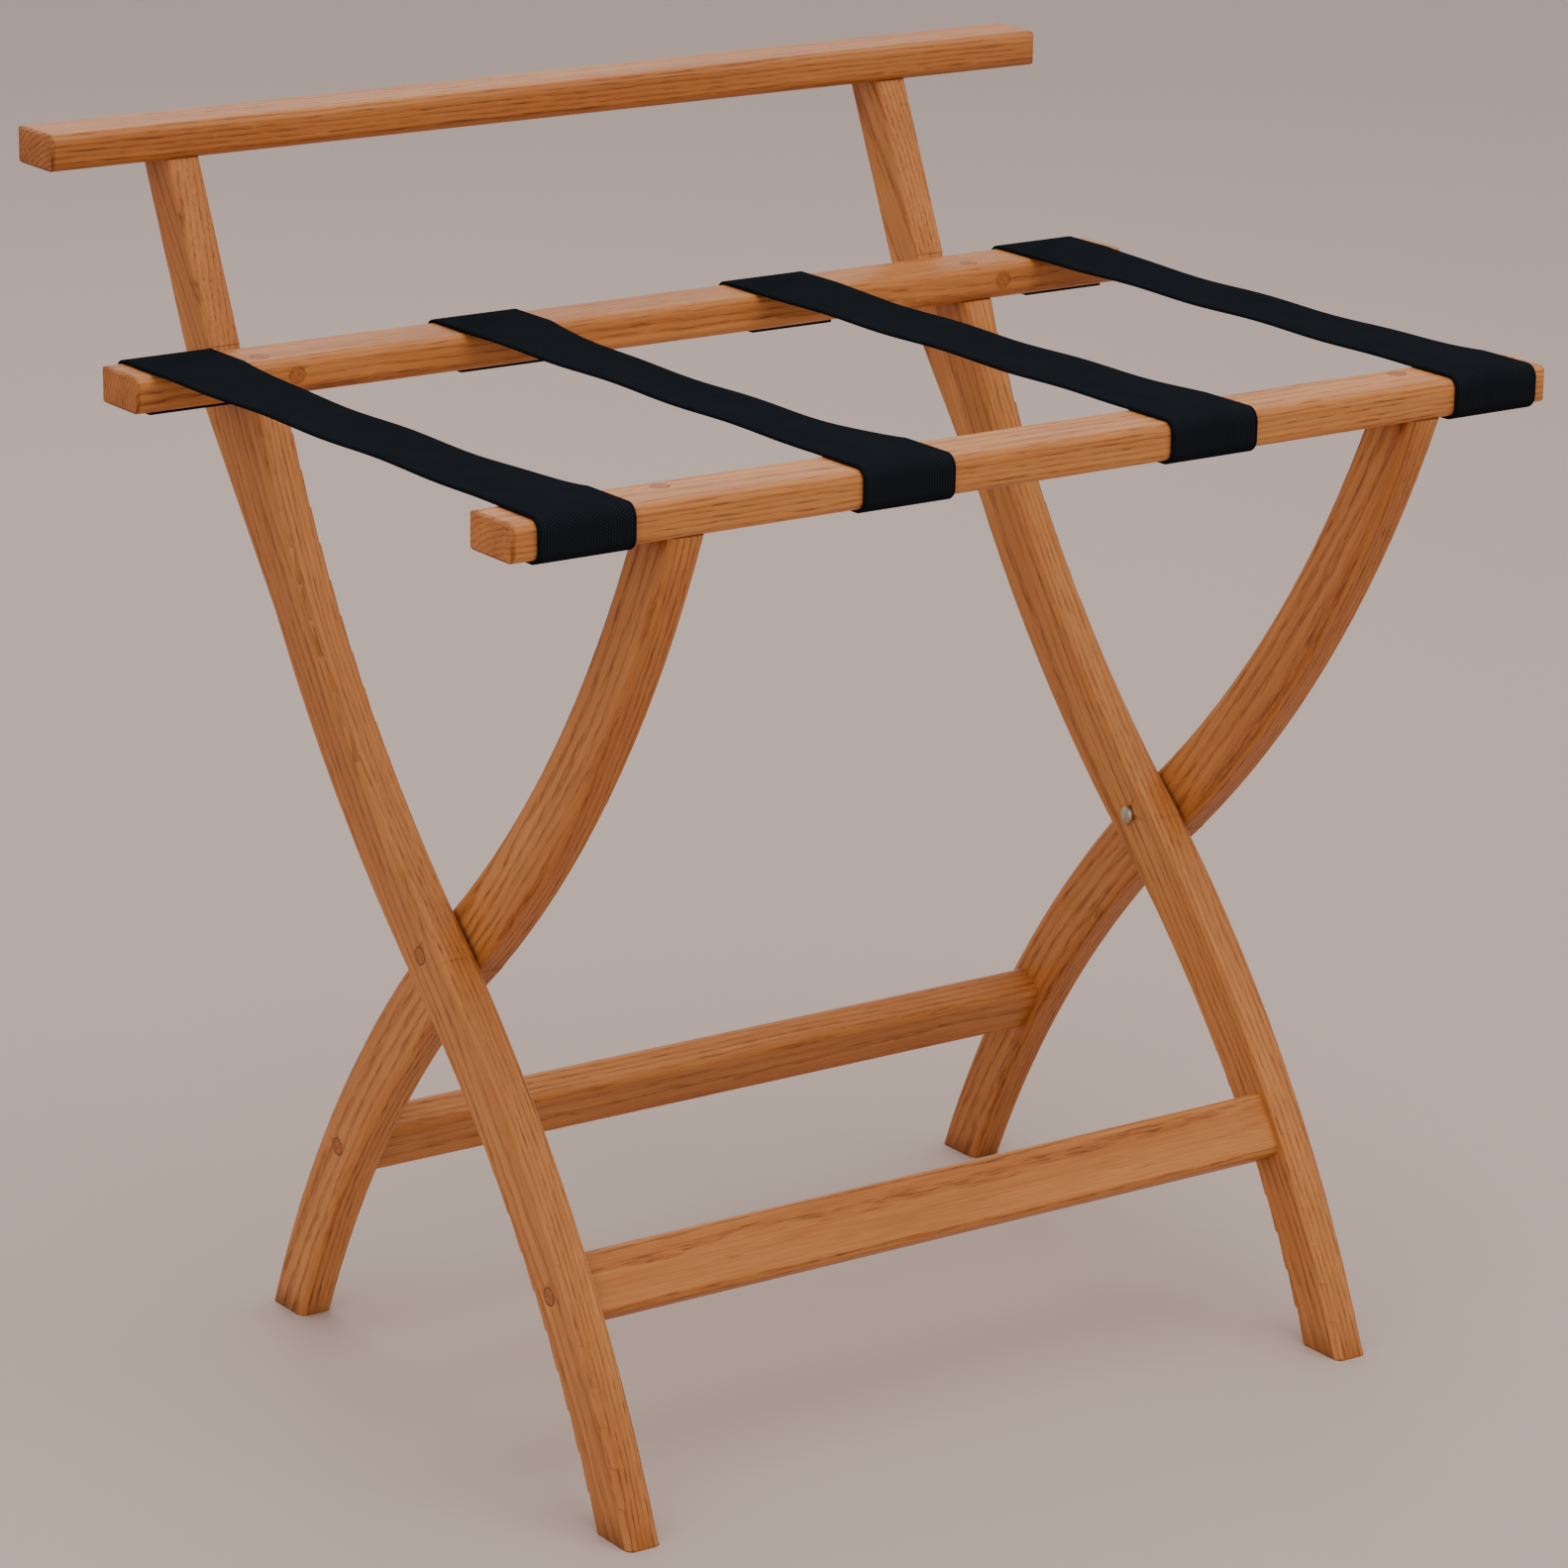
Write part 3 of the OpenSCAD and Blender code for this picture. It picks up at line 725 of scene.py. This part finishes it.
class RACK_OT_straps(bpy.types.Operator):
    """Webbing straps, folded round both seat rails and nearly taut between them"""

    bl_idname = "rack.straps"
    bl_label = "Straps"

    def execute(self, context):
        sizes = context.scene.rack_sizes
        colours = context.scene.rack_colours
        webbing = black_webbing("black webbing", colours, sizes.weave_columns)
        for number in range(1, STRAP_COUNT + 1):
            self.make(number, sizes, webbing)
        return {"FINISHED"}

    def half_route(self, sizes):
        """Points (distance from the middle, height, turn of the outside) from mid-span to the end."""
        offset = sizes.strap_gap + sizes.strap_thickness / 2
        top = BACK_RAIL_HIGH.z + offset
        low = BACK_RAIL_LOW.z - offset
        bend = SEAT_REACH - sizes.rail_rounding
        end = HALF_SPAN + sizes.rail_rounding + TUCK
        radius = sizes.rail_rounding + offset
        points = [(HALF_SPAN * i / SPAN_ROWS, top, 90.0) for i in range(SPAN_ROWS)]
        for i in range(FLAT_ROWS):
            points.append((HALF_SPAN + (bend - HALF_SPAN) * i / FLAT_ROWS, top, 90.0))
        for i in range(ARC_ROWS + 1):
            points.append(self.on_arc(bend, top - radius, radius, 90.0 - 90.0 * i / ARC_ROWS))
        for i in range(ARC_ROWS + 1):
            points.append(self.on_arc(bend, low + radius, radius, -90.0 * i / ARC_ROWS))
        for i in range(1, FLAT_ROWS + 1):
            points.append((bend - (bend - end) * i / FLAT_ROWS, low, -90.0))
        return points

    def on_arc(self, y, z, radius, turn):
        angle = math.radians(turn)
        return (y + radius * math.cos(angle), z + radius * math.sin(angle), turn)

    def make(self, number, sizes, webbing):
        node = "strap_span_%d" % number
        low, high = (Vector(corner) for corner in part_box(node))
        centre = (low.x + high.x) / 2
        half = self.half_route(sizes)
        route = [(-y, z, 180.0 - turn) for y, z, turn in reversed(half[1:])] + half
        lengths = [0.0]
        for before, after in zip(route, route[1:]):
            lengths.append(lengths[-1] + math.hypot(after[0] - before[0], after[1] - before[1]))
        rows = len(route)
        deselect()
        bpy.ops.mesh.primitive_grid_add(
            x_subdivisions=STRAP_COLUMNS, y_subdivisions=rows - 1, size=2.0, calc_uvs=True
        )
        strap = bpy.context.view_layer.objects.active
        strap.name = "strap_%d" % number
        strap.data.name = strap.name
        layer = strap.data.uv_layers[0]
        layer.name = "strap"
        for corner in layer.data:
            row = round(corner.uv[1] * (rows - 1))
            corner.uv = (corner.uv[0], lengths[row])
        sag = sizes.strap_sag * SLACKNESS[number - 1]
        for vertex in strap.data.vertices:
            row = round((vertex.co.y + 1) / 2 * (rows - 1))
            across = vertex.co.x
            y, z, _ = route[row]
            reach = min(1.0, abs(y) / HALF_SPAN)
            slack = 1.0 - reach ** 4
            ripple = RIPPLE_HEIGHT * math.sin(RIPPLE_TURNS * y / HALF_SPAN + number * 1.7) * slack
            drop = sag * slack * ((across + 1) / 2) ** 1.4
            narrow = 1.0 - NARROWER_IN_SPAN * slack
            to_front = min(1.0, max(0.0, (1.0 - y / HALF_SPAN) / 2))
            drift = DRIFT_TO_FRONT[number - 1] * to_front
            spread = 1.0 + WIDER_AT_FRONT * to_front
            vertex.co = (
                centre + drift + across * narrow * spread * sizes.strap_width / 2,
                SEAT_MIDDLE_Y + y,
                z - drop + ripple * across,
            )
        self.thicken(strap, sizes)
        dress(strap, webbing)
        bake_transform(strap)
        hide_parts(node, "strap_front_%d" % number, "strap_back_%d" % number)

    def thicken(self, strap, sizes):
        only(strap)
        bpy.ops.object.mode_set(mode="EDIT")
        bpy.ops.mesh.select_all(action="SELECT")
        bpy.ops.mesh.normals_make_consistent(inside=False)
        bpy.ops.object.mode_set(mode="OBJECT")
        solid = strap.modifiers.new("webbing thickness", "SOLIDIFY")
        solid.thickness = sizes.strap_thickness
        solid.offset = 0.0
        bpy.ops.object.modifier_apply(modifier=solid.name)
        soft = strap.modifiers.new("rolled edge", "BEVEL")
        soft.width = sizes.strap_thickness * 0.35
        soft.segments = 2
        soft.limit_method = "ANGLE"
        soft.angle_limit = math.radians(60)
        bpy.ops.object.modifier_apply(modifier=soft.name)
        bpy.ops.object.shade_smooth_by_angle(angle=STRAP_SMOOTH)


class RACK_OT_staples(bpy.types.Operator):
    """Staples that hold the strap ends under the seat rails"""

    bl_idname = "rack.staples"
    bl_label = "Staples"

    def execute(self, context):
        sizes = context.scene.rack_sizes
        colours = context.scene.rack_colours
        steel = worked_metal("staple steel", colours.steel, scale=900.0, rough=0.28, seed=2.0)
        for node, body in (("front_staples", FRONT), ("back_staples", BACK)):
            self.make(node, body, sizes, steel)
        return {"FINISHED"}

    def make(self, node, body, sizes, steel):
        low, high = (Vector(corner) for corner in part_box(node))
        y = (low.y + high.y) / 2
        made = []
        for number in range(1, STRAP_COUNT + 1):
            strap_low, strap_high = (Vector(c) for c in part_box("strap_span_%d" % number))
            centre = (strap_low.x + strap_high.x) / 2
            for side in (-1, 1):
                made.append(self.staple(centre + side * STAPLE_OFFSET, y, high.z, sizes))
        deselect()
        for piece in made:
            piece.select_set(True)
        bpy.context.view_layer.objects.active = made[0]
        bpy.ops.object.join()
        piece = made[0]
        piece.name = node + "_wire"
        piece.data.name = piece.name
        bpy.ops.object.transform_apply(location=True, rotation=True, scale=True)
        bpy.ops.object.shade_smooth_by_angle(angle=WIRE_SMOOTH)
        dress(piece, steel)
        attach(piece, body)
        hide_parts(node)

    def staple(self, x, y, top, sizes):
        """A crown with two legs turned up into the webbing."""
        wire = sizes.staple_wire
        deselect()
        bpy.ops.mesh.primitive_cube_add(size=1.0, location=(x, y, top - wire * 0.35))
        piece = bpy.context.view_layer.objects.active
        piece.scale = (sizes.staple_width, wire * 1.3, wire * 0.7)
        bpy.ops.object.transform_apply(location=True, rotation=True, scale=True)
        bpy.ops.object.mode_set(mode="EDIT")
        for cut in (x - sizes.staple_width / 2 + wire, x + sizes.staple_width / 2 - wire):
            bpy.ops.mesh.select_all(action="SELECT")
            bpy.ops.mesh.bisect(plane_co=(cut, y, top), plane_no=(1, 0, 0))
        bpy.ops.mesh.select_all(action="DESELECT")
        bpy.ops.object.mode_set(mode="OBJECT")
        limit = sizes.staple_width / 2 - wire * 1.01
        for face in piece.data.polygons:
            face.select = face.normal.z > 0.9 and abs(face.center.x - x) > limit
        bpy.ops.object.mode_set(mode="EDIT")
        bpy.ops.mesh.select_mode(type="FACE")
        bpy.ops.mesh.extrude_region_move(TRANSFORM_OT_translate={"value": (0, 0, STAPLE_LEG)})
        bpy.ops.object.mode_set(mode="OBJECT")
        round_off = piece.modifiers.new("wire rounding", "BEVEL")
        round_off.width = wire * 0.2
        round_off.segments = 2
        bpy.ops.object.modifier_apply(modifier=round_off.name)
        return piece


class RACK_PT_panel(bpy.types.Panel):
    """The steps that finish the rack"""

    bl_label = "Luggage Rack"
    bl_idname = "RACK_PT_panel"
    bl_space_type = "VIEW_3D"
    bl_region_type = "UI"
    bl_category = "Luggage Rack"

    def draw(self, context):
        layout = self.layout
        for step in STEPS:
            layout.operator(step.bl_idname)
        for group in (context.scene.rack_sizes, context.scene.rack_colours):
            for name in group.__annotations__:
                layout.prop(group, name)


STEPS = (
    RACK_OT_stage,
    RACK_OT_rails,
    RACK_OT_legs,
    RACK_OT_stretchers,
    RACK_OT_fixings,
    RACK_OT_straps,
    RACK_OT_staples,
)
CLASSES = (RackSizes, RackColours, *STEPS, RACK_PT_panel)


def register():
    for item in CLASSES:
        bpy.utils.register_class(item)
    bpy.types.Scene.rack_sizes = PointerProperty(type=RackSizes)
    bpy.types.Scene.rack_colours = PointerProperty(type=RackColours)


def unregister():
    del bpy.types.Scene.rack_colours
    del bpy.types.Scene.rack_sizes
    for item in reversed(CLASSES):
        bpy.utils.unregister_class(item)


def main():
    register()
    bpy.ops.rack.stage()
    bpy.ops.rack.rails()
    bpy.ops.rack.legs()
    bpy.ops.rack.stretchers()
    bpy.ops.rack.fixings()
    bpy.ops.rack.straps()
    bpy.ops.rack.staples()


if __name__ == "__main__":
    main()
